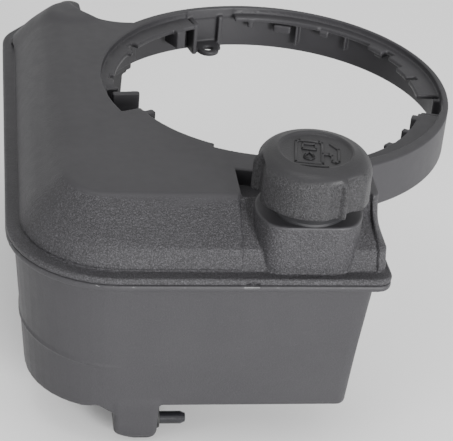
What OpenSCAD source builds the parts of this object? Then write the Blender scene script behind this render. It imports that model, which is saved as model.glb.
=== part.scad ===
// Small-engine fuel tank: two plastic halves welded at a flange, with a ring moulded on that
// goes round the recoil starter, a filler neck with a vented screw cap, and a sump with an
// outlet spigot. The origin is the ring's centre at the level of its rim, +Z is up and the
// filler neck is at -Y.

/* [Ring] */
// Outside radius of the ring
ring_r = 108; // [106:0.5:110]
// Height of the ring's skirt
ring_h = 27; // [25:0.5:28]
// Radius of the recess inside the rim
recess_r = 101.5; // [100:0.5:102]
// How far the recess is off the ring's centre, along +X and +Y
recess_off = 3; // [2:0.5:3.5]
// Depth of the ledge below the rim
rim_drop = 4; // [3:0.5:6]
// Inner radius of the ledge
ledge_r = 91; // [89:0.5:93]
// Radius of the three screw holes
screw_r = 3.2; // [2.6:0.1:3.4]

/* [Tank] */
// Wall thickness of both tank halves
wall = 3; // [2:0.5:3]
// Height of the weld seam
seam_z = -32.6; // [-34:0.2:-31]
// Thickness of each half's flange lip
lip_t = 4; // [3:0.5:4]
// Height of the shoulder's lower edge
edge_z = -17; // [-19:0.5:-15]
// Height of the underside of the tank
floor_z = -117; // [-130:1:-105]
// Height of the underside of the sump
sump_z = -146; // [-150:1:-142]

/* [Filler neck and cap] */
// Neck position across the tank
neck_x = 2; // [0:0.5:4]
// Neck position towards the front
neck_y = -143; // [-145:0.5:-141]
// Radius of the hole that fuel is poured through
neck_bore_r = 16; // [14:0.5:16.5]
// Top of the neck's sealing rim
neck_top = 24; // [23:0.5:25]
// Outside radius of the cap
cap_r = 30.8; // [30:0.1:32]
// Lower edge of the cap
cap_z0 = 9.5; // [8:0.5:11]
// Top of the cap
cap_z1 = 35; // [34:0.5:36]
// Rise of the cap's screw thread in one turn
pitch = 6; // [5:0.5:7]

/* [Outlet] */
// Outside radius of the spigot that the fuel hose goes on
spigot_r = 3.6; // [3.2:0.1:4]
// Length of the spigot outside the sump
spigot_l = 15.5; // [12:0.5:18]
// Radius of the way through the spigot
spigot_bore_r = 2.2; // [1.5:0.1:2.4]

/* [Hidden] */
fa = 96;          // sides of an exact round
hull_fa = 32;     // sides of a round inside a hull
cut = 0.5;        // how far a cut runs past a face
tiny = 0.2;       // thickness of a slice inside a hull

// Where the flat top runs in over the ledge, each [from angle, to angle, inner radius]
top_pads = [[204, 243, 85.5], [242, 292, 89]];
// Openings wider than the ledge's, each [from angle, to angle, radius]: the narrow ledge at the
// back, and gaps for the starter housing's lugs
through_gaps = [[-60, 21, 91], [-18, -3, 104.5], [20, 41, 94], [40, 111, 98],
                [94, 112, 104.5], [110, 203, 91], [144, 148, 96], [174, 178, 94],
                [180, 203.5, 98], [242, 301, 89]];
// How far the front pads reach in past the ledge
pad_overhang = 5.5;
// Height of the screw tabs above the foot of the skirt
tab_up = 1;
// Screw tabs, each [angle, radius of the hole, side of the tall wall]
screw_tabs = [[104.5, 95, 1], [187, 90, -1], [-10.5, 94, -1]];
// Snap hooks inside the skirt, each [angle, width]
hooks = [[76, 12], [60, 6], [36, 6]];

// Corners of the tank's outlines, each [x, y, radius]: front left, front right, back right
// and back left
lip_corners = [[-97, -111, 58], [39, -161, 8], [39, -92, 6], [-127, 105, 28]];
base_corners = [[-97, -111, 51.5], [39.5, -157.5, 5], [39.5, -92, 5], [-127, 105, 21.5],
                [-58, 88, 6]];
edge_corners = [[-97, -111, 47], [39, -153, 5], [39, -92, 5], [-125, 102, 17], [-58, 88, 6]];
top_corners = [[-102, -108, 22], [38, -125, 5], [38, -92, 5], [-112, 88, 14], [-58, 88, 6]];
tub_top_corners = [[-97, -111, 54], [33, -159, 6], [33, -92, 6], [-127, 105, 24]];
tub_low_corners = [[-95, -110, 48.5], [28, -153, 5.5], [28, -92, 5.5], [-122, 100, 20]];
tub_floor_corners = [[-95, -110, 45], [28, -151, 4], [28, -92, 4], [-122, 100, 16]];
tub_round = 4;    // height of the rounding along the bottom

// The pointed corner of the flange at the back left
horn = [-110, 164, 7];
// The hollow in the tank's back: centre and radius at the rim and at the seam
back_top = [-78, 114, 35];
back_low = [-62, 135, 38];
back_reach = [60, 200];

// Neck, cap and their thread
column_r = 28.5;
column_front = 20.5;  // from the neck's axis to the column's flat front
neck_base_r = 20;
neck_r = 18.4;
thread_r = 20;
insert_ir = 20.6;
insert_r = 23;
insert_thread_r = 18.8;
gasket_t = 2;
insert_top = neck_top + gasket_t;
plate_t = 2;
thread_turn = 1.25;
thread_z0 = 11.5;
thread_a0 = 200;
thread_steps = 24;  // sections in one turn
// The insert's ridge runs half a pitch below the neck's
insert_thread_a0 = thread_a0 + 360 * (cap_z0 - thread_z0 + pitch / 2) / pitch;
pocket = [[-32, -130], [34, -98]];
pocket_z = -10;

// Sump and outlet
sump_x0 = -95;
sump_x1 = -70;
sump_y0 = -160;
sump_y1 = -136;
outlet_y = -148;
outlet_z = -134.6;
grommet_r = 6;
grommet_lip = 1;
spigot_in_r = spigot_r - 0.2;  // of the spigot's inner end, in the grommet
strainer_r = 5.5;
strainer_l = 13;

// Angles of the three lugs round the cap
cap_lugs = [54, 174, 294];

function along(a, r) = [r * cos(a), r * sin(a)];

// ---------- shapes shared by the two halves ----------

module rounds(corners, z, h, inset) {
    for (c = corners)
        translate([c[0], c[1], z])
            cylinder(r = max(c[2] - inset, 1), h = h, $fn = hull_fa);
}

// The upper half's outside, or its hollow when inset is the wall thickness
module upper_body(inset) {
    hull() {
        rounds(base_corners, seam_z, lip_t, inset);
        rounds(edge_corners, edge_z - inset, tiny, inset);
        rounds(top_corners, -inset - tiny, tiny, inset);
    }
}

// The lower half's outside, or its hollow when inset is the wall thickness
module tub_body(inset) {
    hull() {
        rounds(tub_top_corners, seam_z - tiny, tiny, inset);
        rounds(tub_low_corners, floor_z + tub_round + inset, tiny, inset);
        rounds(tub_floor_corners, floor_z + inset, tiny, inset);
    }
}

// The flange's outline, with the pointed corner at the back left
module flange_plate(z, h) {
    hull() rounds(lip_corners, z, h, 0);
    hull() rounds([lip_corners[3], horn], z, h, 0);
}

module back_step(c, z, grow) {
    for (m = [[0, 0], back_reach])
        translate([c[0] + m[0], c[1] + m[1], z])
            cylinder(r = c[2] + grow, h = tiny, $fn = 2 * hull_fa);
}

// The space behind the tank, whose concave front runs into the ring
module back_space_upper(grow) {
    hull() {
        back_step(back_top, cut, grow);
        back_step(back_low, seam_z - cut, grow);
    }
}

module back_space_lower(grow) {
    hull() {
        back_step(back_low, seam_z + cut, grow);
        back_step(back_low, sump_z, grow);
    }
}

module ring_space(r) {
    translate([0, 0, sump_z])
        cylinder(r = r, h = -sump_z + cut, $fn = fa);
}

// ---------- upper half ----------

module neck_pocket(grow) {
    translate([pocket[0][0] - grow, pocket[0][1] - grow, pocket_z - grow])
        cube([pocket[1][0] - pocket[0][0] + 2 * grow, pocket[1][1] - pocket[0][1] + 2 * grow,
              -pocket_z + grow + cut]);
}

module neck_column() {
    intersection() {
        translate([neck_x, neck_y, seam_z])
            cylinder(r = column_r, h = -seam_z, $fn = fa);
        translate([neck_x - column_r, neck_y - column_front, seam_z])
            cube([2 * column_r, 2 * column_r + cut, -seam_z]);
    }
}

module horn_top() {
    hull() {
        rounds([horn], seam_z, lip_t + 2, 0);
        rounds([[-127, 112, 17]], edge_z - 4, tiny, 0);
        rounds([[-106, 100, 12]], -4, tiny, 0);
    }
}

module upper_hollow() {
    difference() {
        upper_body(wall);
        ring_space(ring_r + wall);
        back_space_upper(wall);
        neck_pocket(wall);
        translate([neck_x, neck_y, pocket_z - wall])
            cylinder(r = column_r, h = -pocket_z + wall, $fn = fa);
    }
}

module upper_shell() {
    color("dimgray")
        difference() {
            union() {
                difference() {
                    union() {
                        upper_body(0);
                        horn_top();
                        flange_plate(seam_z, lip_t);
                    }
                    neck_pocket(0);
                }
                neck_column();
            }
            upper_hollow();
            ring_space(ring_r);
            back_space_upper(0);
            translate([neck_x, neck_y, seam_z - cut])
                cylinder(r = neck_bore_r, h = -seam_z + 2 * cut, $fn = fa);
        }
}

// ---------- ring ----------

// The part of a ring between radii r0 and r1 that lies between two angles
module sector(a0, a1, r0, r1) {
    far = 2 * r1;
    mid = (a0 + a1) / 2;
    intersection() {
        difference() {
            circle(r = r1, $fn = fa);
            circle(r = r0, $fn = fa);
        }
        polygon([[0, 0], along(a0, far), along(mid, far), along(a1, far)]);
    }
}

// The recess inside the rim. It is off centre, so that the rim is widest at the front left,
// where the tank's flat top also runs in over the ledge.
module recess() {
    translate([0, 0, -rim_drop])
        linear_extrude(rim_drop + cut)
            difference() {
                translate([recess_off, recess_off])
                    circle(r = recess_r, $fn = fa);
                for (pad = top_pads)
                    sector(pad[0], pad[1], pad[2], ring_r);
            }
}

// The way through inside the ledge, with its gaps
module ledge_opening() {
    translate([0, 0, -rim_drop - wall - cut])
        linear_extrude(rim_drop + wall + 2 * cut)
            union() {
                circle(r = ledge_r - pad_overhang, $fn = fa);
                for (gap = through_gaps)
                    sector(gap[0], gap[1], 60, gap[2]);
            }
}

module ring_body() {
    difference() {
        translate([0, 0, -ring_h])
            cylinder(r = ring_r, h = ring_h, $fn = fa);
        recess();
        ledge_opening();
        translate([0, 0, -ring_h - cut])
            cylinder(r = ring_r - wall, h = ring_h - rim_drop - wall + cut, $fn = fa);
    }
}

// A tab near the foot of the skirt with a screw hole, and a wall on each side of it
module screw_tab(a, r, side) {
    reach = ring_r - 1 - r;
    tall = ring_h - rim_drop - tab_up - 1;
    rotate([0, 0, a])
        translate([0, 0, tab_up - ring_h])
            difference() {
                union() {
                    translate([r, 0, 0])
                        cylinder(r = 7, h = wall, $fn = fa);
                    translate([r, -9, 0])
                        cube([reach, 18, wall]);
                    translate([r - 2, side > 0 ? 8.5 : -8.5 - wall, 0])
                        cube([reach + 2, wall, tall]);
                    translate([r + 6, side > 0 ? -8.5 - wall : 8.5, 0])
                        cube([reach - 6, wall, tall]);
                }
                translate([r, 0, -cut])
                    cylinder(r = screw_r, h = wall + 2 * cut, $fn = fa);
            }
}

// Snap hooks on the inside of the skirt at the back
module hook(a, w) {
    rotate([0, 0, a])
        translate([ring_r - wall - 5, -w / 2, -rim_drop - wall - 8])
            cube([6, w, 8.5]);
}

module shroud_ring() {
    color("dimgray")
        union() {
            ring_body();
            for (tab = screw_tabs)
                screw_tab(tab[0], tab[1], tab[2]);
            for (h = hooks)
                hook(h[0], h[1]);
        }
}

// ---------- lower half ----------

module sump_outside() {
    low = 3;
    width = sump_x1 - sump_x0;
    depth = sump_y1 - sump_y0;
    translate([sump_x0, sump_y0, sump_z])
        hull() {
            translate([low, low, 0])
                cube([width - low, depth - 2 * low, tiny]);
            translate([0, 0, 2 * low])
                cube([width, depth, floor_z - sump_z + 2 * wall - 2 * low]);
        }
}

module sump_inside() {
    translate([sump_x0 + wall + 1, sump_y0 + wall + 1, sump_z + wall])
        cube([sump_x1 - sump_x0 - 2 * wall - 1, sump_y1 - sump_y0 - 2 * wall - 2,
              floor_z - sump_z + wall]);
}

module lower_shell() {
    color("dimgray")
        difference() {
            union() {
                tub_body(0);
                flange_plate(seam_z - lip_t, lip_t - tiny);
                sump_outside();
            }
            difference() {
                tub_body(wall);
                ring_space(ring_r + 2 * wall);
                back_space_lower(wall);
            }
            sump_inside();
            ring_space(ring_r + wall);
            back_space_lower(0);
            translate([sump_x1 - 2 * wall, outlet_y, outlet_z])
                rotate([0, 90, 0])
                    cylinder(r = grommet_r - 1, h = 3 * wall, $fn = fa);
        }
}

// ---------- outlet ----------

module along_outlet(x) {
    translate([x, outlet_y, outlet_z])
        rotate([0, 90, 0])
            children();
}

module outlet_fitting() {
    inside = wall + 3;
    tip = 2.5;
    color("black")
        along_outlet(sump_x1 - inside)
            rotate_extrude($fn = fa)
                polygon([[spigot_bore_r, 0], [strainer_r - 1.5, 0], [strainer_r - 1.5, 1.5],
                         [spigot_in_r, 1.5], [spigot_in_r, inside + grommet_lip],
                         [spigot_r, inside + grommet_lip], [spigot_r, inside + spigot_l - tip],
                         [spigot_r - 1.1, inside + spigot_l],
                         [spigot_bore_r, inside + spigot_l]]);
}

module outlet_grommet() {
    lip = grommet_lip;
    groove_r = grommet_r - 1.05;
    color("black")
        along_outlet(sump_x1 - wall - lip)
            rotate_extrude($fn = fa)
                polygon([[spigot_in_r, 0], [grommet_r, 0], [grommet_r, lip], [groove_r, lip],
                         [groove_r, lip + wall], [grommet_r, lip + wall],
                         [grommet_r - 0.5, wall + 2 * lip], [spigot_in_r, wall + 2 * lip]]);
}

module strainer_frame() {
    bar = 1.2;
    x1 = sump_x1 - wall - 3;
    color("whitesmoke")
        along_outlet(x1 - strainer_l) {
            cylinder(r = strainer_r, h = bar, $fn = fa);
            translate([0, 0, strainer_l - 1.5])
                difference() {
                    cylinder(r = strainer_r, h = 1.5, $fn = fa);
                    translate([0, 0, -cut])
                        cylinder(r = strainer_r - 1.5, h = 1.5 + 2 * cut, $fn = fa);
                }
            for (a = [45:90:315])
                rotate([0, 0, a])
                    translate([strainer_r - 0.9, -bar / 2, bar - tiny])
                        cube([0.8, bar, strainer_l - bar - 1.5 + 2 * tiny]);
        }
}

module strainer_mesh() {
    x1 = sump_x1 - wall - 3;
    color("silver")
        along_outlet(x1 - strainer_l + 1.2)
            difference() {
                cylinder(r = strainer_r - 1, h = strainer_l - 2.7, $fn = fa);
                translate([0, 0, -cut])
                    cylinder(r = strainer_r - 1.4, h = strainer_l - 2.7 + 2 * cut, $fn = fa);
            }
}

// ---------- screw thread ----------

// One section of the thread's ridge: its root on radius r0, its crest on radius r1
function ridge_section(a, z, r0, r1, fade) =
    let (half_root = 0.3 + 1.2 * fade, half_crest = 0.15 + 0.65 * fade,
         crest = r0 + (r1 - r0) * fade)
    [[r0 * cos(a), r0 * sin(a), z - half_root],
     [crest * cos(a), crest * sin(a), z - half_crest],
     [crest * cos(a), crest * sin(a), z + half_crest],
     [r0 * cos(a), r0 * sin(a), z + half_root]];

// A ridge that climbs one pitch a turn and fades out at both ends
module thread(z0, a0, r0, r1, turns) {
    n = round(turns * thread_steps);
    points = [for (i = [0:n])
        each ridge_section(a0 + i * 360 / thread_steps, z0 + i * pitch / thread_steps, r0, r1,
                           min(1, 0.15 + 0.3 * min(i, n - i)))];
    sides = [for (i = [0:n - 1]) for (k = [0:3])
        each [[4 * i + k, 4 * i + (k + 1) % 4, 4 * (i + 1) + (k + 1) % 4],
              [4 * i + k, 4 * (i + 1) + (k + 1) % 4, 4 * (i + 1) + k]]];
    ends = [[3, 2, 1, 0], [4 * n, 4 * n + 1, 4 * n + 2, 4 * n + 3]];
    faces = concat(sides, ends);
    // an inward ridge is a mirror image, so its faces are wound the other way
    polyhedron(points, r1 > r0 ? faces : [for (f = faces) [for (k = [len(f) - 1:-1:0]) f[k]]]);
}

// ---------- filler neck ----------

module at_neck() {
    translate([neck_x, neck_y, 0])
        children();
}

module filler_neck() {
    color("dimgray")
        at_neck()
            union() {
                rotate_extrude($fn = fa)
                    polygon([[neck_bore_r, 0], [neck_base_r, 0], [neck_base_r, 1.5],
                             [neck_r, 3], [neck_r, neck_top - 1], [neck_r - 0.6, neck_top],
                             [neck_bore_r, neck_top]]);
                thread(thread_z0, thread_a0, neck_r - 0.3, thread_r, thread_turn);
            }
}

// ---------- cap ----------

// The cap's domed shell, with the skirt inside it that the threaded insert is snapped into
module cap_shell() {
    roof = cap_z1 - 3.8;
    skirt_z = cap_z0 + 3;
    skirt_r = insert_r + 0.05;
    plate_z = insert_top + plate_t;
    rotate_extrude($fn = fa)
        polygon(concat(
            [[cap_r - 2.4, cap_z0], [cap_r - 1, cap_z0], [cap_r, cap_z0 + 1], [cap_r - 0.5, 24]],
            [for (a = [10:10:80]) [cap_r - 7.5 + 7 * cos(a), 24.5 + 9 * sin(a)]],
            [[cap_r - 7.5, 33.6], [20.2, cap_z1], [19.2, cap_z1], [18.6, cap_z1 - 1.4],
             [0, cap_z1 - 1.4], [0, roof], [19, roof], [19, plate_z], [skirt_r, plate_z],
             [skirt_r, skirt_z], [skirt_r + 1.8, skirt_z], [skirt_r + 1.8, plate_z + 0.3],
             [cap_r - 2.9, 24]]));
}

// A finger hollow behind each lug
module cap_lug_hollows() {
    for (a = cap_lugs)
        rotate([0, 0, a + 14])
            translate([cap_r + 6.2, 0, cap_z0 - cut])
                cylinder(r = 8, h = 20, $fn = fa);
}

module cap_lug_ridges() {
    for (a = cap_lugs)
        rotate([0, 0, a + 0.7])
            translate([cap_r - 1, 0, cap_z0 + 1.3])
                cylinder(r = 1.5, h = 14.6, $fn = fa);
}

module cap_cover() {
    color("dimgray")
        at_neck()
            union() {
                difference() {
                    cap_shell();
                    cap_lug_hollows();
                }
                cap_lug_ridges();
            }
}

module cap_insert() {
    color("gray")
        at_neck()
            union() {
                difference() {
                    translate([0, 0, cap_z0 - 1])
                        cylinder(r = insert_r, h = insert_top + plate_t - cap_z0 + 1, $fn = fa);
                    translate([0, 0, cap_z0 - 1 - cut])
                        cylinder(r = insert_ir, h = insert_top - cap_z0 + 1 + cut, $fn = fa);
                    translate([0, 0, insert_top - cut])
                        cylinder(r = 2, h = plate_t + 2 * cut, $fn = fa);
                    for (a = [0:60:300])
                        rotate([0, 0, a])
                            translate([4.5, 0, insert_top - cut])
                                cylinder(r = 0.8, h = plate_t + 2 * cut, $fn = 24);
                }
                thread(cap_z0, insert_thread_a0, insert_ir + 0.3, insert_thread_r, 1);
            }
}

module cap_gasket() {
    color("black")
        at_neck()
            translate([0, 0, neck_top])
                difference() {
                    cylinder(r = insert_ir - 0.4, h = gasket_t, $fn = fa);
                    translate([0, 0, -cut])
                        cylinder(r = neck_bore_r - 0.5, h = gasket_t + 2 * cut, $fn = fa);
                }
}

module vent_foam() {
    color("khaki")
        at_neck()
            translate([0, 0, insert_top + plate_t])
                cylinder(r = 12, h = 2.8, $fn = fa);
}

// Rubber umbrella valve: its skirt covers the small holes, its stem is in the middle one
module vent_valve() {
    color("black")
        at_neck()
            rotate_extrude($fn = fa)
                polygon([[0, insert_top - 1.6], [3, insert_top - 1.6], [6.2, insert_top - 0.6],
                         [6.2, insert_top], [1.9, insert_top], [1.9, insert_top + plate_t],
                         [0, insert_top + plate_t]]);
}

// Splash guard pressed into the insert below the valve
module vent_retainer() {
    color("whitesmoke")
        at_neck()
            difference() {
                translate([0, 0, insert_top - 4.2])
                    cylinder(r = 13, h = 4.2, $fn = fa);
                translate([0, 0, insert_top - 3])
                    cylinder(r = 11.5, h = 3 + cut, $fn = fa);
                for (a = [0:90:270])
                    rotate([0, 0, a])
                        translate([7.5, 0, insert_top - 4.2 - cut])
                            cylinder(r = 1.5, h = 2, $fn = 24);
            }
}

upper_shell();
shroud_ring();
filler_neck();
lower_shell();
outlet_fitting();
outlet_grommet();
strainer_frame();
strainer_mesh();
cap_cover();
cap_insert();
cap_gasket();
vent_foam();
vent_valve();
vent_retainer();
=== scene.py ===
"""Looks of a small-engine fuel tank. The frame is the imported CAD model, in metres.

The two tank halves are drawn as level sets: each is a formula that is below 0 inside the
plastic, in millimetres, so that every edge and corner has its moulded rounding. The cap is
lathed, with its lugs and finger hollows in the lathe's formula. The other pieces are the CAD
solids themselves with better materials.
"""

import math

import bmesh
import bpy
import numpy as np
from mathutils import Matrix, Vector


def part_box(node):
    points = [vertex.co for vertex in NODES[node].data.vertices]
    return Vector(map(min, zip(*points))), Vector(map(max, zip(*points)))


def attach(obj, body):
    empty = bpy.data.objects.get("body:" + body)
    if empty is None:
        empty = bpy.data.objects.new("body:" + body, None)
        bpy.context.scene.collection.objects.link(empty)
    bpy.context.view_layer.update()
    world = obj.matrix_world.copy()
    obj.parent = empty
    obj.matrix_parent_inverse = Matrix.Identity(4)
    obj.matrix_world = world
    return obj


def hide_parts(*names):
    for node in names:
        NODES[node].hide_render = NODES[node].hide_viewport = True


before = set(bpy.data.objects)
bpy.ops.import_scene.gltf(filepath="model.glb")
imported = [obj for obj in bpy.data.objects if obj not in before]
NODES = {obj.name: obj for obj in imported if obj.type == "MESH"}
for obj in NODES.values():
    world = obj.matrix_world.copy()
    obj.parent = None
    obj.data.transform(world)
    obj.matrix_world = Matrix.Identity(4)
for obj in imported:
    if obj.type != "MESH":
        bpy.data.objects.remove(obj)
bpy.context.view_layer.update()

MM = 0.001

# ---------------------------------------------------------------- sizes, in millimetres


def box_mm(node):
    low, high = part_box(node)
    return np.array(low) / MM, np.array(high) / MM


RING_LOW, RING_HIGH = box_mm("shroud_ring")
TUB_LOW, TUB_HIGH = box_mm("lower_shell")
CAP_LOW, CAP_HIGH = box_mm("cap_cover")
NECK_LOW, NECK_HIGH = box_mm("filler_neck")

RING_R = RING_HIGH[0]
RING_FOOT = RING_LOW[2]
WALL = 3.0
SEAM = TUB_HIGH[2]
LIP = 4.0
NECK_X, NECK_Y = (NECK_LOW[:2] + NECK_HIGH[:2]) / 2
COLUMN_R = 28.5
COLUMN_FRONT = NECK_Y - 20.5  # the column's flat front
BORE_R = 16.0                 # the filler neck's bore
EDGE = -17.0                  # the shoulder's lower edge
FLOOR = -119.2                # underside of the tub
SUMP = TUB_LOW[2]             # underside of the sump, the lowest point
LEDGE_DROP = 4.0              # from the ring's rim down to its ledge
TAB_Z = RING_FOOT + 1.0       # underside of the screw tabs

# Corners of the outlines, each (x, y, radius), the same as the CAD model's
LIP_CORNERS = [(-97, -111, 58), (39, -161, 8), (39, -92, 6), (-127, 105, 28)]
BASE_CORNERS = [(-97, -111, 51.5), (39.5, -157.5, 5), (39.5, -92, 5), (-127, 105, 21.5),
                (-58, 88, 6)]
EDGE_CORNERS = [(-97, -111, 47), (39, -153, 5), (39, -92, 5), (-125, 102, 17), (-58, 88, 6)]
TOP_CORNERS = [(-102, -108, 22), (38, -125, 5), (38, -92, 5), (-112, 88, 14), (-58, 88, 6)]
TUB_TOP_CORNERS = [(-97, -111, 54), (33, -159, 6), (33, -92, 6), (-127, 105, 24)]
TUB_LOW_CORNERS = [(-95, -110, 48.5), (28, -153, 5.5), (28, -92, 5.5), (-122, 100, 20)]
# The pointed horn at the back left: the circle at its tip, and the one at its foot on top
HORN = (-110, 164, 7)
HORN_TOP = (-112, 96, 14)
# The hollow behind the tank: its round end at the top and at the seam, and where it leads
BACK_TOP = (-78, 114, 35)
BACK_LOW = (-62, 135, 38)
BACK_REACH = (60, 200)


# ---------------------------------------------------------------- formulas

CIRCLE_STEP = 7.5             # degrees between the points on an outline's circles


def smax(a, b, k):
    """The larger of a and b, with the corner between them rounded over k."""
    h = np.clip(0.5 + 0.5 * (a - b) / k, 0, 1)
    return b + (a - b) * h + k * h * (1 - h)


def smin(a, b, k):
    """The smaller of a and b, with the corner between them rounded over k."""
    return -smax(-a, -b, k)


def ramp(v, start, end):
    """From 0 at start to 1 at end, smooth at both."""
    t = np.clip((v - start) / (end - start), 0, 1)
    return t * t * (3 - 2 * t)


def outline(corners):
    """The edges of the outline stretched round circles: unit normals and offsets."""
    turns = np.radians(np.arange(0, 360, CIRCLE_STEP))
    points = np.concatenate([
        np.stack([x + r * np.cos(turns), y + r * np.sin(turns)], 1) for x, y, r in corners
    ])
    points = points[np.lexsort((points[:, 1], points[:, 0]))]
    chains = []
    for row in (points, points[::-1]):
        chain = []
        for p in row:
            while len(chain) > 1 and cross(chain[-2], chain[-1], p) <= 0:
                chain.pop()
            chain.append(p)
        chains += chain[:-1]
    loop = np.array(chains)
    step = np.roll(loop, -1, 0) - loop
    normal = np.stack([step[:, 1], -step[:, 0]], 1)
    normal /= np.linalg.norm(normal, axis=1)[:, None]
    return normal, (normal * loop).sum(1)


def cross(a, b, c):
    return (b[0] - a[0]) * (c[1] - a[1]) - (b[1] - a[1]) * (c[0] - a[0])


def inside(edges, x, y):
    """Distance to an outline, negative inside it."""
    d = None
    for (nx, ny), off in zip(*edges):
        e = nx * x + ny * y - off
        d = e if d is None else np.maximum(d, e)
    return d


def brick(x, y, z, centre, half, k=0.8):
    """A box with its edges rounded over k."""
    a = np.abs(x - centre[0]) - half[0]
    b = np.abs(y - centre[1]) - half[1]
    c = np.abs(z - centre[2]) - half[2]
    return smax(smax(a, b, k), c, k)


def between(x, y, a0, a1):
    """Negative between two angles, in degrees and less than half a turn apart."""
    a0, a1 = math.radians(a0), math.radians(a1)
    first = x * math.sin(a0) - y * math.cos(a0)
    last = y * math.cos(a1) - x * math.sin(a1)
    return np.maximum(first, last)


def turned(x, y, angle):
    """A place seen from an angle round the ring's axis: along that radius, and across it."""
    a = math.radians(angle)
    return x * math.cos(a) + y * math.sin(a), y * math.cos(a) - x * math.sin(a)


def behind(x, y, z):
    """The hollow behind the tank: a round-ended slot that leans back towards the seam."""
    t = np.clip(z / SEAM, 0, 1)
    cx = BACK_TOP[0] + (BACK_LOW[0] - BACK_TOP[0]) * t
    cy = BACK_TOP[1] + (BACK_LOW[1] - BACK_TOP[1]) * t
    r = BACK_TOP[2] + (BACK_LOW[2] - BACK_TOP[2]) * t
    ux, uy = BACK_REACH
    s = np.clip(((x - cx) * ux + (y - cy) * uy) / (ux * ux + uy * uy), 0, 1)
    return np.hypot(x - cx - s * ux, y - cy - s * uy) - r


EDGES = {
    "lip": outline(LIP_CORNERS),
    "horn": outline([LIP_CORNERS[3], HORN]),
    "horn_base": outline([BASE_CORNERS[3], HORN]),
    "base": outline(BASE_CORNERS),
    "edge": outline(EDGE_CORNERS),
    "top": outline(TOP_CORNERS),
    "tub_top": outline(TUB_TOP_CORNERS),
    "tub_low": outline(TUB_LOW_CORNERS),
}


def lip_outline(x, y):
    """Distance to the flange's outline, the horn included."""
    return np.minimum(inside(EDGES["lip"], x, y), inside(EDGES["horn"], x, y))


# ---------------------------------------------------------------- the upper half's formula

LIP_TOP = SEAM + LIP
PANEL = (-33.0, 38.5)         # the slightly sunk panel round the neck, from and to
PANEL_SINK = 1.3
POCKET = ((1.0, -114.0), (33.0, 16.0), -10.0)   # centre, half size and floor
WALL_SLOPE, SHOULDER_SLOPE = 0.95, 0.55         # from level distance to distance from it
BEAD, BEAD_WIDTH = 0.7, 0.8   # the step at the panel's right end, deep and wide
GROOVE_R = 1.1
NOTCH = ((-28, -169.4, SEAM + 0.4), (3.6, 1.5, 1.5))   # centre and half size


def shoulders(x, y, z):
    """The block under the flat top: a steep wall, a sloped shoulder and the flat top."""
    base, edge, top = (inside(EDGES[k], x, y) for k in ("base", "edge", "top"))
    low = base + (edge - base) * (z - LIP_TOP) / (EDGE - LIP_TOP)
    high = edge + (top - edge) * (z - EDGE) / (0 - EDGE)
    side = smax(WALL_SLOPE * low, SHOULDER_SLOPE * high, 0.7 + 3 * ramp(x, -60, -110))
    side = side + PANEL_SINK * ramp(x, PANEL[0] - 0.5, PANEL[0] + 0.5) * ramp(
        x, PANEL[1] + 0.5, PANEL[1] - 0.5)
    side = side + BEAD * np.exp(-(((x - PANEL[1]) / BEAD_WIDTH) ** 2)) * ramp(y, -126, -134)
    soft = 0.9 + 6 * ramp(x, -88, -118) * ramp(y, -132, -70)
    block = smax(z, side, soft)
    horn_low = inside(EDGES["horn_base"], x, y)
    horn_high = np.hypot(x - HORN_TOP[0], y - HORN_TOP[1]) - HORN_TOP[2]
    horn = horn_low + (horn_high - horn_low) * (z - LIP_TOP) / (-1.5 - LIP_TOP)
    return np.maximum(smin(block, smax(0.5 * horn, z, 3), 5), lip_outline(x, y))


def pocket(x, y, z):
    """The low place between the neck's column and the ring."""
    (cx, cy), (hx, hy), floor = POCKET
    plan = smax(np.abs(x - cx) - hx, np.abs(y - cy) - hy, 3)
    return smax(plan, floor - z, 1.5)


def column(x, y, z):
    """The neck's column, flat at the front where it runs down to the flange."""
    plan = smax(np.hypot(x - NECK_X, y - NECK_Y) - COLUMN_R, COLUMN_FRONT - y, 5)
    return smax(plan, z, 1.2)


def groove(x, y, z):
    """The narrow groove where the lower wall meets the flange."""
    return np.hypot(inside(EDGES["base"], x, y) + 0.3, z - LIP_TOP - 0.5) - GROOVE_R


def torn_notch(x, y, z):
    """A ragged nick in the flange's front edge, left where the mould's gate was broken off."""
    ragged = 0.5 * np.sin(2.3 * x) * np.sin(1.7 * z + x)
    return brick(x, y, z, *NOTCH) + ragged


# The ring's openings, each (from angle, to angle, radius)
GAPS = [(-60, 21, 91), (-18, -3, 104.5), (20, 41, 95.5), (40, 62, 99), (61, 111, 98),
        (94, 112, 104.5), (110, 203, 91), (143, 147, 96), (171, 175, 94),
        (180, 203.5, 96), (242, 262, 89), (262, 301, 89), (29, 33, 101), (9, 12, 97)]
# Thicker pads on the ledge, each (from angle, to angle, inner radius)
PADS = [(204, 243, 85.5), (242, 292, 89)]
# The screw tabs, each (angle, the hole's radius from the axis, side of the longer wall)
SCREW_TABS = [(104.5, 95, 1), (187, 90, -1), (-10.5, 94, -1)]
SCREW_R = 3.2
TAB_R, TAB_HALF_WIDTH = 7, 9
TAB_WALL_AT, TAB_WALL_HALF = 10, 1.5            # across the tab, from its middle
RECESS = (3, 3, 101.5)        # the ledge's round edge: centre and radius
LEDGE_R = 85.5                # the ledge's inner radius
GAP_FROM_R = 60               # the gaps start well inside the ledge
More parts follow.
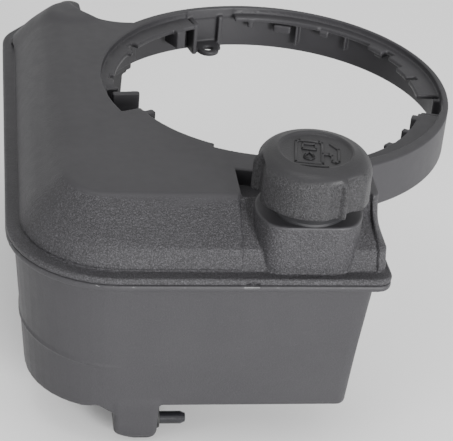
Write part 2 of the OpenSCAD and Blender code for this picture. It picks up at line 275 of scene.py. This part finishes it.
# Hooks, ribs and snaps inside the skirt: (angle, radius, z, half sizes along r, round and z)
HOOKS = [
    (76, 101.5, -10.5, 3.5, 5.5, 2.6), (70.5, 102, -13, 3.2, 0.9, 8),
    (88, 101, -8, 3, 1.6, 3.2), (60, 101.5, -8.5, 3.5, 3, 1.8),
    (52, 103, -11, 2, 0.8, 6), (36, 101.5, -8.5, 3.5, 3, 1.8),
    (120, 94, -10, 7, 3.2, 6), (186, 85, -15, 8, 1.6, 11),
    (-22, 90, -8, 2.2, 2.4, 4.5), (-33, 89.5, -7.5, 2.4, 2, 3),
    (-47, 90, -6, 2, 3, 1.6), (208, 84.5, -3, 4.5, 2.2, 2.6),
    (150, 91.5, -5.5, 2.5, 1.5, 1.5), (298, 90.5, -5.5, 2.2, 2.6, 1.6),
]


def ring(x, y, z):
    """The ring round the starter: rim, skirt and ledge, with its gaps, hooks and screw tabs."""
    r = np.hypot(x, y)
    body = smax(r - RING_R, smax(z, RING_FOOT - z, 0.6), 1.0)
    hollow = np.maximum(r - (RING_R - WALL), z + LEDGE_DROP + WALL)
    pads = np.inf
    for a0, a1, inner in PADS:
        pads = np.minimum(pads, np.maximum(between(x, y, a0, a1), inner - r))
    recess = np.maximum(np.hypot(x - RECESS[0], y - RECESS[1]) - RECESS[2], -LEDGE_DROP - z)
    recess = smax(recess, -pads, 0.8)
    opening = r - LEDGE_R
    for a0, a1, outer in GAPS:
        gap = smax(between(x, y, a0, a1), np.maximum(r - outer, GAP_FROM_R - r), 1.2)
        opening = np.minimum(opening, gap)
    opening = np.maximum(opening, -LEDGE_DROP - WALL - 1 - z)
    body = smax(body, -hollow, 0.9)
    body = smax(body, -recess, 0.9)
    body = smax(body, -opening, 0.7)
    for a, radius, side in SCREW_TABS:
        body = smin(body, screw_tab(x, y, z, a, radius, side), 1.0)
    for a, radius, height, along, wide, tall in HOOKS:
        u, v = turned(x, y, a)
        body = smin(body, brick(u, v, z, (radius, 0, height), (along, wide, tall), 0.9), 0.8)
    return np.maximum(body, r - RING_R)


def screw_tab(x, y, z, a, radius, side):
    """A tab near the skirt's foot with a screw hole, and a wall on each side of it."""
    u, v = turned(x, y, a)
    reach = RING_R - 1.5
    mid = (radius + reach) / 2
    half = (reach - radius) / 2
    web = smax(np.abs(u - mid) - half, np.abs(v) - TAB_HALF_WIDTH, 1)
    plate = np.minimum(np.hypot(u - radius, v) - TAB_R, web)
    plate = smax(plate, np.abs(z - TAB_Z - WALL / 2) - WALL / 2, 0.8)
    plate = smax(plate, SCREW_R - np.hypot(u - radius, v), 0.6)
    top = -LEDGE_DROP - 1
    height = (TAB_Z + top) / 2
    tall = (top - TAB_Z) / 2
    across = TAB_WALL_AT * side
    long_wall = brick(u, v, z, (mid - 1, across, height), (half + 1, TAB_WALL_HALF, tall))
    short_wall = brick(u, v, z, (mid + 3, -across, height), (half - 3, TAB_WALL_HALF, tall))
    return smin(plate, smin(long_wall, short_wall, 0.5), 1.2)


def upper_half(x, y, z):
    """The whole upper moulding with its ring."""
    r = np.hypot(x, y)
    block = shoulders(x, y, z)
    lip = smax(lip_outline(x, y), np.abs(z - SEAM - LIP / 2) - LIP / 2, 1.7)
    body = smin(smax(block, -groove(x, y, z), 0.5), lip, 0.6)
    body = smax(body, -pocket(x, y, z), 1.0)
    body = smin(body, column(x, y, z), 0.8)
    body = smax(body, -torn_notch(x, y, z), 0.4)
    neck = np.hypot(x - NECK_X, y - NECK_Y)
    space = smax(block + WALL, -WALL - pocket(x, y, z), 1)
    space = np.maximum(space, np.maximum(RING_R + WALL - r, WALL - behind(x, y, z)))
    space = np.maximum(space, np.minimum(POCKET[2] - WALL - z, neck - COLUMN_R) * -1)
    body = np.maximum(body, -space)
    body = np.maximum(body, BORE_R - neck)
    body = np.maximum(body, np.where(z > RING_FOOT + 1, RING_R - 4, RING_R) - r)
    body = smax(body, -behind(x, y, z), 2.0)
    body = np.maximum(body, SEAM - z)
    return np.minimum(body, ring(x, y, z))


# ---------------------------------------------------------------- the lower half's formula

SUMP_BOX = ((-82.5, -147.3), (12.5, 11.3))      # centre and half size
OUTLET_Y, OUTLET_Z, OUTLET_R = -148.0, -134.6, 5
FLOOR_SAG, SUMP_SAG = 2.4, 5.5  # how far the floor dips at the front left, and at the sump
LINE_Z, LINE_TILT, LINE_WIDTH, LINE_PROUD = -89, 0.09, 0.9, 0.8    # the moulding line


def tub(x, y, z):
    """The tub's outside: it tapers towards a floor that dips at the front left."""
    top, low = inside(EDGES["tub_top"], x, y), inside(EDGES["tub_low"], x, y)
    side = top + (low - top) * (z - SEAM) / (FLOOR + 4 - SEAM)
    floor = FLOOR - FLOOR_SAG * ramp(x, -100, -114) * ramp(y, -100, -125)
    floor = floor - SUMP_SAG * ramp(x, -106, -94) * ramp(x, -71, -75) * ramp(y, -124, -142)
    return smax(side, floor - z, 2.5)


def lower_half(x, y, z):
    """The tub with its flange lip, moulding line, sump and outlet hole."""
    r = np.hypot(x, y)
    outside = tub(x, y, z)
    off_line = z - LINE_Z + LINE_TILT * (x + 120)
    line = np.exp(-((off_line / LINE_WIDTH) ** 2)) * ramp(x, -86, -108)
    body = outside - LINE_PROUD * line * ramp(y, -85, -105)
    (sx, sy), (hx, hy) = SUMP_BOX
    taper = 0.08 * (FLOOR - z)
    plan = smax(np.abs(x - sx) - hx + 0.3 * taper, np.abs(y - sy) - hy + taper, 3)
    sump = smax(plan, np.abs(z - (SUMP + FLOOR + 8) / 2) - (FLOOR + 8 - SUMP) / 2, 9)
    corner = 0.45 * (sx - hx - x) + 0.85 * (SUMP + 7 - z)
    sump = smax(sump, corner, 2)
    body = smin(body, sump, 1.5)
    lip = smax(lip_outline(x, y), np.abs(z - SEAM + LIP / 2) - LIP / 2, 1.7)
    body = smax(smin(body, lip, 1.0), -torn_notch(x, y, z), 0.4)
    sump_space = brick(x, y, z, (sx + 0.5, sy, (SUMP + FLOOR) / 2 + WALL),
                       (hx - WALL - 0.5, hy - WALL - 1, (FLOOR - SUMP) / 2), 2)
    space = np.maximum(outside + WALL, np.maximum(RING_R + 2 * WALL - r,
                                                  WALL - behind(x, y, z)))
    body = smax(body, RING_R + WALL - r, 1.5)
    body = smax(body, -behind(x, y, z), 2.0)
    body = np.maximum(body, -np.minimum(space, sump_space))
    hole = np.maximum(np.hypot(y - OUTLET_Y, z - OUTLET_Z) - OUTLET_R, sx + 5 - x)
    body = np.maximum(body, -hole)
    body = np.maximum(body, SUMP - z)
    return np.maximum(body, z - SEAM)


# ---------------------------------------------------------------- from formula to mesh

SETTLING_STEPS = 3            # moves of every point towards the surface
LONGEST_MOVE = 0.35           # of one cell
SLOPE_STEP = 0.05             # over which a formula's slope is taken
FLAT_WEIGHT = 50              # how much larger faces rule the shading


def level_set(formula, low, high, step):
    """The surface where a formula is 0: one point a cell, then moved onto the surface."""
    counts = [int(math.ceil((high[k] - low[k]) / step)) + 1 for k in range(3)]
    grid = [low[k] + step * np.arange(counts[k]) for k in range(3)]
    f = formula(grid[0][:, None, None], grid[1][None, :, None], grid[2][None, None, :])
    f = np.ascontiguousarray(np.broadcast_to(f, counts)).astype(np.float32)
    within = f < 0
    count = sum(
        within[i:counts[0] - 1 + i, j:counts[1] - 1 + j, k:counts[2] - 1 + k].astype(np.int8)
        for i in (0, 1) for j in (0, 1) for k in (0, 1)
    )
    mixed = (count > 0) & (count < 8)
    cells = np.argwhere(mixed)
    number = np.full(mixed.shape, -1, np.int64)
    number[mixed] = np.arange(len(cells))
    total, crossings = np.zeros((len(cells), 3)), np.zeros(len(cells))
    for axis in range(3):
        for i in (0, 1):
            for j in (0, 1):
                start = np.zeros(3, int)
                start[(axis + 1) % 3], start[(axis + 2) % 3] = i, j
                end = start.copy()
                end[axis] = 1
                a, b = f[tuple((cells + start).T)], f[tuple((cells + end).T)]
                hit = (a < 0) != (b < 0)
                share = np.where(hit, a / np.where(hit, a - b, 1), 0)
                total += hit[:, None] * start
                total[:, axis] += hit * share
                crossings += hit
    points = np.array(low) + step * (cells + total / crossings[:, None])
    quads = np.concatenate([quads_across(within, number, axis) for axis in range(3)])
    for _ in range(SETTLING_STEPS):
        points = onto(formula, points, step)
    return points, quads


def quads_across(within, number, axis):
    """The quads round every grid edge along one axis that the surface crosses."""
    u, v = (axis + 1) % 3, (axis + 2) % 3
    ahead = np.roll(within, -1, axis)
    changed = within != ahead
    trim = [slice(None)] * 3
    trim[axis] = slice(0, -1)
    keep = np.zeros_like(changed)
    keep[tuple(trim)] = changed[tuple(trim)]
    for k in (u, v):
        for end in (0, -1):
            edge = [slice(None)] * 3
            edge[k] = end
            keep[tuple(edge)] = False
    at = np.argwhere(keep)
    eu, ev = np.eye(3, dtype=int)[u], np.eye(3, dtype=int)[v]
    ring_of = [number[tuple((at - s).T)] for s in (eu + ev, ev, 0, eu)]
    quads = np.stack(ring_of, 1)
    outward = within[tuple(at.T)]
    return np.where(outward[:, None], quads, quads[:, ::-1])


def onto(formula, points, step):
    """One step of every point towards the surface along the formula's slope."""
    h = SLOPE_STEP
    x, y, z = points.T
    here = formula(x, y, z)
    slope = np.stack([formula(x + h, y, z) - here, formula(x, y + h, z) - here,
                      formula(x, y, z + h) - here], 1) / h
    square = np.maximum((slope ** 2).sum(1), 0.05)
    move = -(here / square)[:, None] * slope
    length = np.linalg.norm(move, axis=1)
    move *= np.minimum(1, LONGEST_MOVE * step / np.maximum(length, 1e-9))[:, None]
    return points + move


def placed(name, data):
    """An object in the scene that holds a mesh, light or camera."""
    obj = bpy.data.objects.new(name, data)
    bpy.context.scene.collection.objects.link(obj)
    return obj


def strip_quads(rows, count):
    """The quads between rows of points, each row a closed loop of count points."""
    return np.array([[i * count + k, i * count + (k + 1) % count,
                      (i + 1) * count + (k + 1) % count, (i + 1) * count + k]
                     for i in range(rows - 1) for k in range(count)])


def mesh_from(name, points, faces):
    """A mesh object from points in millimetres."""
    mesh = bpy.data.meshes.new(name)
    mesh.vertices.add(len(points))
    mesh.vertices.foreach_set("co", (np.asarray(points) * MM).astype(np.float32).ravel())
    size = faces.shape[1]
    mesh.loops.add(faces.size)
    mesh.loops.foreach_set("vertex_index", faces.astype(np.int32).ravel())
    mesh.polygons.add(len(faces))
    mesh.polygons.foreach_set("loop_start", (np.arange(len(faces)) * size).astype(np.int32))
    mesh.update(calc_edges=True)
    mesh.validate()
    mesh.shade_smooth()
    return placed(name, mesh)


def thinned(obj, share):
    """Merges small flat triangles, keeping a share of them, and shades flat areas flat."""
    obj.modifiers.new("thin", "DECIMATE").ratio = share
    obj.modifiers.new("flat", "WEIGHTED_NORMAL").weight = FLAT_WEIGHT
    graph = bpy.context.evaluated_depsgraph_get()
    mesh = bpy.data.meshes.new_from_object(obj.evaluated_get(graph))
    obj.modifiers.clear()
    obj.data = mesh
    return obj


# ---------------------------------------------------------------- materials

GRAIN_SHADE_AND_GLINT = 0.45             # how far the painted shade darkens the grain's pits and the painted glints lighten its specks
GRAIN_DEPTH = 0.0009          # metres


class Nodes:
    """A short way to write a material's node tree."""

    def __init__(self, name, rough, specular=0.5):
        self.material = bpy.data.materials.new(name)
        self.material.use_nodes = True
        self.tree = self.material.node_tree
        self.shader = self.tree.nodes["Principled BSDF"]
        self.shader.inputs["Roughness"].default_value = rough
        self.shader.inputs["Specular IOR Level"].default_value = specular
        self.where = self.tree.nodes.new("ShaderNodeTexCoord").outputs["Object"]

    def link(self, a, b):
        self.tree.links.new(a, b)

    def noise(self, scale, detail=2.0, rough=0.5):
        n = self.tree.nodes.new("ShaderNodeTexNoise")
        n.inputs["Scale"].default_value = scale
        n.inputs["Detail"].default_value = detail
        n.inputs["Roughness"].default_value = rough
        self.link(self.where, n.inputs["Vector"])
        return n.outputs["Fac"]

    def cells(self, scale):
        n = self.tree.nodes.new("ShaderNodeTexVoronoi")
        n.inputs["Scale"].default_value = scale
        self.link(self.where, n.inputs["Vector"])
        return n.outputs["Distance"]

    def spread(self, value, low, high, start=0.3, end=0.7):
        n = self.tree.nodes.new("ShaderNodeMapRange")
        for name, v in (("From Min", start), ("From Max", end), ("To Min", low),
                        ("To Max", high)):
            n.inputs[name].default_value = v
        self.link(value, n.inputs["Value"])
        return n.outputs["Result"]

    def maths(self, kind, a, b):
        n = self.tree.nodes.new("ShaderNodeMath")
        n.operation = kind
        for socket, v in zip(n.inputs, (a, b)):
            if isinstance(v, (int, float)):
                socket.default_value = v
            else:
                self.link(v, socket)
        return n.outputs[0]

    def blend(self, factor, a, b):
        n = self.tree.nodes.new("ShaderNodeMix")
        n.data_type = "RGBA"
        for name, v in (("A_Color", a), ("B_Color", b)):
            socket = next(s for s in n.inputs if s.identifier == name)
            if isinstance(v, tuple):
                socket.default_value = (*v, 1)
            else:
                self.link(v, socket)
        self.link(factor, n.inputs["Factor"])
        return next(s for s in n.outputs if s.identifier == "Result_Color")

    def mask(self, name):
        n = self.tree.nodes.new("ShaderNodeAttribute")
        n.attribute_name = name
        return n.outputs["Fac"]

    def bump(self, height, strength, distance):
        n = self.tree.nodes.new("ShaderNodeBump")
        n.inputs["Distance"].default_value = distance
        if isinstance(strength, float):
            n.inputs["Strength"].default_value = strength
        else:
            self.link(strength, n.inputs["Strength"])
        self.link(height, n.inputs["Height"])
        self.link(n.outputs["Normal"], self.shader.inputs["Normal"])


def grained_plastic(name, dark, light, rough):
    """Moulded plastic with a spark-eroded grain as strong as the grain mask says, its pits in
    painted shade and its specks in painted glints.
    """
    m = Nodes(name, rough, 0.35)
    patches = m.spread(m.noise(28, 3), 0, 1, 0.35, 0.65)
    specks = m.spread(m.noise(1500, 2, 0.6), 0, 1, 0.45, 0.7)
    grain = m.mask("grain")
    amount = m.maths("MULTIPLY", specks, grain)
    base = m.blend(patches, dark, light)
    # painted shade: the grained areas are darkened towards a darker tone for the shade in the
    # grain's pits
    painted_pit_shade = m.maths("MULTIPLY", grain, GRAIN_SHADE_AND_GLINT)
    base = m.blend(painted_pit_shade, base, tuple(v * 0.3 for v in dark))
    # painted glints: the grain's specks are lightened towards a pale tone for the highlights on
    # them
    pale = tuple(v * 4 for v in light)
    painted_glint_share = m.maths("MULTIPLY", amount, GRAIN_SHADE_AND_GLINT)
    m.link(m.blend(painted_glint_share, base, pale), m.shader.inputs["Base Color"])
    m.bump(m.noise(900, 3, 0.65), m.spread(grain, 0.06, 1.0, 0, 1), GRAIN_DEPTH)
    gloss = m.spread(m.noise(160, 2), rough - 0.02, rough + 0.03)
    m.link(gloss, m.shader.inputs["Roughness"])
    return m.material


def plain_material(name, dark, light, rough, scale=60, bump=0.1, size=500):
    """A plain surface with faint patches of colour and a fine bump."""
    m = Nodes(name, rough)
    m.link(m.blend(m.spread(m.noise(scale, 3), 0, 1), dark, light),
           m.shader.inputs["Base Color"])
    m.bump(m.noise(size, 3), bump, 0.0004)
    m.link(m.spread(m.noise(scale * 3, 2), rough - 0.05, rough + 0.05),
           m.shader.inputs["Roughness"])
    return m.material


def mesh_cloth(name):
    """Fine woven screen: bright wires with dark gaps, from two sets of waves."""
    m = Nodes(name, 0.4)
    m.shader.inputs["Metallic"].default_value = 0.6
    waves = []
    for direction in ("X", "DIAGONAL"):
        n = m.tree.nodes.new("ShaderNodeTexWave")
        n.bands_direction = direction
        n.inputs["Scale"].default_value = 400
        m.link(m.where, n.inputs["Vector"])
        waves.append(n.outputs["Fac"])
    weave = m.maths("MAXIMUM", *waves)
    m.link(m.blend(weave, (0.08, 0.08, 0.08), (0.6, 0.6, 0.58)), m.shader.inputs["Base Color"])
    m.bump(weave, 0.6, 0.0003)
    return m.material


def foam(name):
    """Open-cell foam: dark pores with a deep bump."""
    m = Nodes(name, 0.9)
    pores = m.cells(900)
    m.link(m.blend(m.spread(pores, 0, 1, 0.1, 0.6), (0.08, 0.075, 0.06), (0.42, 0.39, 0.31)),
           m.shader.inputs["Base Color"])
    m.bump(pores, 0.9, 0.001)
    return m.material


MATERIALS = {
    "tank_plastic": grained_plastic("tank_plastic", (0.031, 0.030, 0.033),
                                    (0.034, 0.033, 0.036), 0.52),
    "cap_plastic": grained_plastic("cap_plastic", (0.018, 0.0176, 0.0192),
                                   (0.0225, 0.022, 0.0237), 0.42),
    "neck_plastic": plain_material("neck_plastic", (0.02, 0.02, 0.022), (0.03, 0.03, 0.032),
                                   0.42),
    "insert_plastic": plain_material("insert_plastic", (0.12, 0.12, 0.125), (0.16, 0.16, 0.165),
                                     0.4),
    "flash_plastic": plain_material("flash_plastic", (0.07, 0.07, 0.072), (0.2, 0.2, 0.205),
                                    0.35, 90, 0.5, 900),
    "spigot_plastic": plain_material("spigot_plastic", (0.01, 0.01, 0.012),
                                     (0.018, 0.018, 0.021), 0.16),
    "seal_rubber": plain_material("seal_rubber", (0.012, 0.012, 0.012), (0.025, 0.025, 0.025),
                                  0.6, 80, 0.3, 1200),
    "white_plastic": plain_material("white_plastic", (0.68, 0.66, 0.6), (0.8, 0.78, 0.73), 0.4),
    "screen_mesh": mesh_cloth("screen_mesh"),
    "vent_foam": foam("vent_foam"),
}


def dress(obj, material):
    """Gives a piece its material."""
    obj.data.materials.clear()
    obj.data.materials.append(MATERIALS[material])
    return obj


def grain_mask(obj, rule):
    """Writes how grainy the surface is at each point, 0 to 1, from its place in millimetres."""
    co = np.zeros(len(obj.data.vertices) * 3)
    obj.data.vertices.foreach_get("co", co)
    x, y, z = co.reshape(-1, 3).T / MM
    layer = obj.data.attributes.new("grain", "FLOAT", "POINT")
    layer.data.foreach_set("value", rule(x, y, z).astype(np.float32))


# ---------------------------------------------------------------- the tank halves

STEP = 0.85    # the grid's cell, in millimetres
KEEP = 0.3     # share of the triangles that stay
TUB_STEP = STEP * 1.3                 # the tub has less detail
MARGIN = 2                            # round a half's box, so that its surface closes
FAINT_GRAIN = 0.12


def top_grain(x, y, z):
    """The shoulders, the lower wall and the neck's column are grained, the flat top isn't."""
    slope = ramp(z, -0.6, -2.0) * ramp(np.hypot(x, y), RING_R, RING_R + 2)
    front = ramp(y, -100, -128)
    left = 0.25 * ramp(x, -110, -135)
    return np.clip(slope * (front + left), 0, 1)


def make_upper_half():
    """The upper moulding with its ring, in one piece."""
    low, high = box_mm("upper_shell")
    low, high = np.minimum(low, RING_LOW) - MARGIN, np.maximum(high, RING_HIGH) + MARGIN
    points, quads = level_set(upper_half, low, high, STEP)
    obj = thinned(mesh_from("tank_upper_half", points, quads), KEEP)
    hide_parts("upper_shell", "shroud_ring")
    grain_mask(obj, top_grain)
    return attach(dress(obj, "tank_plastic"), "tank")


def make_lower_half():
    """The tub with its sump."""
    points, quads = level_set(lower_half, TUB_LOW - MARGIN, TUB_HIGH + MARGIN, TUB_STEP)
    obj = thinned(mesh_from("tank_lower_half", points, quads), KEEP)
    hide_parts("lower_shell")
    grain_mask(obj, lambda x, y, z: np.full_like(x, FAINT_GRAIN))
    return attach(dress(obj, "tank_plastic"), "tank")


# ---------------------------------------------------------------- weld flash along the seam

FLASH_STEP = 0.5              # degrees round the flange
FLASH_END_Y = 92              # where it stops at the back left
FLASH_SIDES = 6


def flange_path(step):
    """Points round the flange's visible edge, from the back left to the right end."""
    edges = EDGES["lip"]
    centre = np.array([-60.0, -60.0])                 # a point well inside the flange
    turns = np.radians(np.arange(112, 316, step))     # from the back left to the right end
    far = np.stack([np.cos(turns), np.sin(turns)], 1)
    reach = []
    for d in far:
        along = edges[0] @ d
        room = edges[1] - edges[0] @ centre
        reach.append(min(room[along > 1e-9] / along[along > 1e-9]))
    return centre + far * np.array(reach)[:, None]


def make_weld_flash():
    """A thin uneven bead squeezed out of the welded seam."""
    path = flange_path(FLASH_STEP)
    path = path[path[:, 1] < FLASH_END_Y]
    ahead = np.gradient(path, axis=0)
    ahead /= np.linalg.norm(ahead, axis=1)[:, None]
    out = np.stack([ahead[:, 1], -ahead[:, 0]], 1)
    i = np.arange(len(path))
    wobble = 0.5 + 0.5 * np.sin(i * 0.91) * np.sin(i * 0.37 + 1) * np.cos(i * 0.13)
    rows = []
    for k in range(FLASH_SIDES):
        a = 2 * math.pi * k / FLASH_SIDES
        push = -0.6 + (0.42 + 0.13 * wobble) * math.cos(a)
        lift = SEAM - 1.1 + (0.35 + 0.3 * wobble) * math.sin(a)
        flat = path + out * push[:, None]
        rows.append(np.column_stack([flat, lift]))
    points = np.stack(rows, 1).reshape(-1, 3)
    obj = mesh_from("weld_flash", points, strip_quads(len(path), FLASH_SIDES))
    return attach(dress(obj, "flash_plastic"), "tank")


# ---------------------------------------------------------------- the cap

CAP_R = 30.7
CAP_Z0, CAP_Z1 = CAP_LOW[2], CAP_HIGH[2]
LUGS = (54, 174, 294)         # degrees
DISC_R = 18.8                 # the sunk disc with the symbol
RIDGE_HIGH, RIGHT_DEEP, LEFT_DEEP = 1.0, 3.4, 1.7     # a lug and the hollows beside it
DOUBLE_POINTS = 0.00004       # metres


def cap_profile():
    """(radius, height) from the inside of the roof, over the rim, to the middle of the disc."""
    z0, z1 = CAP_Z0, CAP_Z1
    inside_wall = [(0.01, z1 - 3.8), (12, z1 - 3.8), (23.6, z1 - 5.2), (27.6, z1 - 11),
                   (28.0, z0 + 8), (28.4, z0 + 0.6), (28.7, z0)]
    foot = [(CAP_R - 1.3, z0), (CAP_R - 0.5, z0 + 0.35), (CAP_R - 0.1, z0 + 1.0)]
    side = [(CAP_R - 0.1 - 0.02 * k, z0 + 1.0 + k) for k in range(2, 14)]
    dome = [(CAP_R - 8.9 + 8.7 * math.cos(a), z0 + 14.2 + 10.2 * math.sin(a))
            for a in np.radians(np.arange(8, 84, 6))]
    rim = [(21.6, z1 - 0.75), (20.4, z1 - 0.25), (19.9, z1 - 0.1), (19.4, z1 - 0.12),
           (DISC_R, z1 - 0.6), (DISC_R - 0.4, z1 - 1.4), (DISC_R - 1.2, z1 - 1.6)]
    disc = [(r, z1 - 1.6 - 0.5 * (1 - (r / 18) ** 2)) for r in (16, 13, 10, 7, 4, 1.5, 0.01)]
    return np.array(inside_wall + foot + side + dome + rim + disc)


def lug_shape(angle, height, radius):
    """How far the cap's outside moves out at an angle, in millimetres."""
    out = np.zeros(len(angle))
    up = ramp(height, CAP_Z0 + 22.5, CAP_Z0 + 18) * ramp(radius, 22.5, 27)
    for a in LUGS:
        d = (angle - a + 180) % 360 - 180
        ridge = np.exp(-((d / 1.8) ** 2))
        right = ramp(d, 2.5, 5) * ramp(d, 31, 12)
        left = ramp(d, -2.5, -4.5) * ramp(d, -22, -8)
        out = out + up * (RIDGE_HIGH * ridge - RIGHT_DEEP * right - LEFT_DEEP * left)
    return out


def make_cap():
    """The cap's grip shell, turned from its profile, with its lugs and hollows."""
    profile = cap_profile()
    count = 360
    angles = np.arange(count) * 360.0 / count
    rows = []
    for r, z in profile:
        rr = r + lug_shape(angles, z, r)
        rows.append(np.stack([NECK_X + rr * np.cos(np.radians(angles)),
                              NECK_Y + rr * np.sin(np.radians(angles)),
                              np.full(count, z)], 1))
    points = np.concatenate(rows)
    obj = mesh_from("fuel_cap_cover", points, strip_quads(len(profile), count))
    close_poles(obj)
    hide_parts("cap_cover")
    grain_mask(obj, lambda x, y, z: ramp(z, CAP_Z1 - 3, CAP_Z1 - 7) + FAINT_GRAIN)
    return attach(dress(obj, "cap_plastic"), "cap")


def close_poles(obj):
    """Merges the points at the two middles of a turned piece."""
    work = bmesh.new()
    work.from_mesh(obj.data)
    bmesh.ops.remove_doubles(work, verts=work.verts, dist=DOUBLE_POINTS)
    bmesh.ops.recalc_face_normals(work, faces=work.faces)
    work.to_mesh(obj.data)
    work.free()
    obj.data.shade_smooth()


def icon_lines():
    """A generic fuel pump with a drop, as round-cornered strokes: points and half width."""
    body = [(-6, -7), (-6, 5.5), (-5, 6.5), (1, 6.5), (2, 5.5), (2, -7), (-6, -7)]
    window = [(-4, 1.5), (-4, 4.5), (0, 4.5), (0, 1.5), (-4, 1.5)]
    hose = [(2, -1), (4, -1), (5, -2), (5, -5), (6, -6), (7, -5), (7, 2.5), (4.5, 5.5)]
    foot = [(-7.5, -8.5), (3.5, -8.5)]
    drop = [(-2 + 1.5 * math.cos(a), -3.2 + 1.5 * math.sin(a))
            for a in np.radians(np.arange(-220, 41, 20))]
    drop = drop + [(-2, -0.3), drop[0]]
    return [(body, 0.55), (window, 0.4), (hose, 0.5), (foot, 0.6), (drop, 0.38)]


ICON_SCALE, STROKE_SCALE = 1.7, 1.6
ICON_SINK, ICON_HIGH = 2.15, 0.9      # its foot below the cap's top, and its height
ICON_TURN = -9                # degrees


def make_icon():
    """Raised strokes on the cap's disc, swept along their lines."""
    work = bmesh.new()
    base = CAP_Z1 - ICON_SINK
    for line, half in icon_lines():
        pts = np.array(line, float) * ICON_SCALE
        for a, b in zip(pts[:-1], pts[1:]):
            stroke(work, a, b, half * STROKE_SCALE, base, ICON_HIGH)
    mesh = bpy.data.meshes.new("cap_fuel_symbol")
    work.to_mesh(mesh)
    work.free()
    obj = placed("cap_fuel_symbol", mesh)
    turn = Matrix.Rotation(math.radians(ICON_TURN), 4, "Z")
    mesh.transform(Matrix.Translation((NECK_X * MM, NECK_Y * MM, 0)) @ turn)
    mesh.shade_smooth()
    grain_mask(obj, lambda x, y, z: np.zeros_like(x))
    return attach(dress(obj, "cap_plastic"), "cap")


def stroke(work, a, b, half, base, height):
    """A raised bar from a to b with round ends and a rounded top edge."""
    ahead = (b - a) / np.linalg.norm(b - a)
    facing = math.atan2(ahead[1], ahead[0])
    loop = [(b, facing + math.radians(t)) for t in range(-90, 91, 30)]
    loop += [(a, facing + math.radians(t)) for t in range(90, 271, 30)]
    levels = [(0, 1.0), (height * 0.7, 0.92), (height, 0.6)]
    rows = []
    for z, share in levels:
        rows.append([work.verts.new(((c[0] + half * share * math.cos(t)) * MM,
                                     (c[1] + half * share * math.sin(t)) * MM,
                                     (base + z) * MM)) for c, t in loop])
    count = len(loop)
    for lower, upper in zip(rows[:-1], rows[1:]):
        for k in range(count):
            n = (k + 1) % count
            work.faces.new((lower[k], lower[n], upper[n], upper[k]))
    work.faces.new(rows[-1])
    work.faces.new(rows[0][::-1])


# ---------------------------------------------------------------- CAD pieces that stay

KEPT = {
    "filler_neck": "neck_plastic",
    "outlet_fitting": "spigot_plastic",
    "outlet_grommet": "seal_rubber",
    "strainer_frame": "white_plastic",
    "strainer_mesh": "screen_mesh",
    "cap_insert": "insert_plastic",
    "cap_gasket": "seal_rubber",
    "vent_foam": "vent_foam",
    "vent_valve": "seal_rubber",
    "vent_retainer": "white_plastic",
}


def dress_kept_pieces():
    """Better materials on the CAD solids that stay as they are."""
    for node, material in KEPT.items():
        for slot in NODES[node].material_slots:
            slot.material = MATERIALS[material]


# ---------------------------------------------------------------- camera, light and floor


AZIMUTH, ELEVATION, ROLL = -9.67, 31.38, 5.57         # degrees
AIM, DISTANCE = (-0.02666, -0.05995, -0.06), 0.98726  # metres
LENS, SENSOR = 135.1, 36                              # millimetres
LIT = (0, -0.05, -0.05)       # where the key and the left light point
FLOOR_REACH = 6               # metres
FLOOR_GAP = 0.2               # millimetres under the sump


def make_camera():
    """From the front, a little left, 31 degrees above the horizon."""
    azimuth, elevation, roll = (math.radians(v) for v in (AZIMUTH, ELEVATION, ROLL))
    back = Vector((math.sin(azimuth) * math.cos(elevation),
                   -math.cos(azimuth) * math.cos(elevation), math.sin(elevation)))
    level = Vector((math.cos(azimuth), math.sin(azimuth), 0))
    rise = back.cross(level)
    right = math.cos(roll) * level + math.sin(roll) * rise
    up = -math.sin(roll) * level + math.cos(roll) * rise
    data = bpy.data.cameras.new("camera")
    data.sensor_width = SENSOR
    data.lens = LENS
    data.clip_end = 20
    obj = placed("camera", data)
    turn = Matrix((right, up, back)).transposed()
    obj.matrix_world = Matrix.Translation(Vector(AIM) + back * DISTANCE) @ turn.to_4x4()
    bpy.context.scene.camera = obj


def area_light(name, place, aim, size, power):
    """A round soft light at a place, in metres and watts."""
    data = bpy.data.lights.new(name, "AREA")
    data.shape = "DISK"
    data.size = size
    data.energy = power
    turn = (Vector(aim) - Vector(place)).to_track_quat("-Z", "Y").to_matrix()
    placed(name, data).matrix_world = Matrix.Translation(place) @ turn.to_4x4()


def make_studio():
    """Soft lights, a pale world and a pale floor."""
    area_light("key", (0.75, -1.9, 0.35), LIT, 0.7, 66)
    area_light("left", (-1.6, -0.9, 0.9), LIT, 0.8, 5)
    area_light("top", (-0.2, -0.1, 1.9), (0, 0, -0.05), 1.0, 8)
    world = bpy.data.worlds.new("studio")
    world.use_nodes = True
    world.node_tree.nodes["Background"].inputs["Color"].default_value = (1, 1, 1, 1)
    world.node_tree.nodes["Background"].inputs["Strength"].default_value = 0.95
    bpy.context.scene.world = world
    mesh = bpy.data.meshes.new("floor")
    z = (SUMP - FLOOR_GAP) * MM
    corners = [(FLOOR_REACH * i, FLOOR_REACH * j, z)
               for i, j in ((-1, -1), (1, -1), (1, 1), (-1, 1))]
    mesh.from_pydata(corners, [], [(0, 1, 2, 3)])
    floor = placed("floor", mesh)
    m = Nodes("floor", 0.9, 0.1)
    m.link(m.blend(m.spread(m.noise(3), 0, 1), (0.93, 0.93, 0.93), (0.95, 0.95, 0.95)),
           m.shader.inputs["Base Color"])
    mesh.materials.append(m.material)


make_camera()
make_studio()
make_upper_half()
make_lower_half()
make_weld_flash()
make_cap()
make_icon()
dress_kept_pieces()
